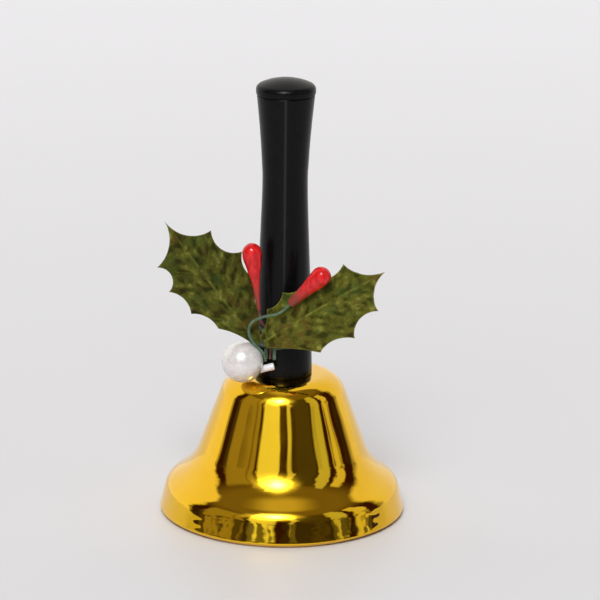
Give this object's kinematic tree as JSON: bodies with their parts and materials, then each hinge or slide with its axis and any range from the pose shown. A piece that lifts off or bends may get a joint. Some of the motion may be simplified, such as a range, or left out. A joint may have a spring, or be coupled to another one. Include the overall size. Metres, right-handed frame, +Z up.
{
  "type": "christmas hand bell",
  "caption": "Gold hand bell with a black hourglass handle and a swinging clapper; a holly spray with berries and a pearl is tied to the handle's foot.",
  "frame": {"origin": "centre of the rim's plane, on which the bell stands", "axes": "+Z up along the bell and handle axis, -Y towards the holly spray, +X to the right as the spray is seen"},
  "size_m": [0.075, 0.075, 0.1355],
  "materials": {
    "gold": "polished, gold plated",
    "black_handle": "satin gloss black",
    "zinc_steel": "zinc plated, slightly dull",
    "gold_ball": "plated, satin",
    "leaf_cloth": "woven cloth, stiffened, olive green with paler veins",
    "green_wire": "paper wrapped wire, blue-green",
    "berry_wire": "thin wire, red-brown lacquer over green",
    "green_tape": "crepe paper floral tape, waxy",
    "red_lacquer": "glossy red lacquer",
    "pearl": "pearlescent white",
    "white_stem": "milky white"
  },
  "bodies": {
    "bell": {"bell_shell": "gold", "handle_grip": "black_handle", "handle_end_cap": "black_handle", "screw_eye": "zinc_steel", "inner_washer": "zinc_steel", "clamp_nut": "zinc_steel", "leaf_left": "leaf_cloth", "leaf_right": "leaf_cloth", "leaf_wire_left": "green_wire", "leaf_wire_right": "green_wire", "berry_left": "red_lacquer", "berry_right": "red_lacquer", "berry_stem_left": "berry_wire", "berry_stem_right": "green_wire", "pearl_bead": "pearl", "pearl_stem": "white_stem", "floral_tape": "green_tape", "tie_wire": "green_wire"},
    "link": {"clapper_link": "zinc_steel"},
    "clapper": {"clapper_rod": "zinc_steel", "clapper_ball": "gold_ball"}
  },
  "joints": [
    {"name": "link_rock", "type": "hinge", "parent": "bell", "child": "link", "pos_m": [0, 0, 0.0348], "axis": [1, 0, 0], "range_deg": [-12, 12]},
    {"name": "clapper_swing", "type": "hinge", "parent": "link", "child": "clapper", "pos_m": [0, 0, 0.0312], "axis": [0, 1, 0], "range_deg": [-56, 56]}
  ]
}
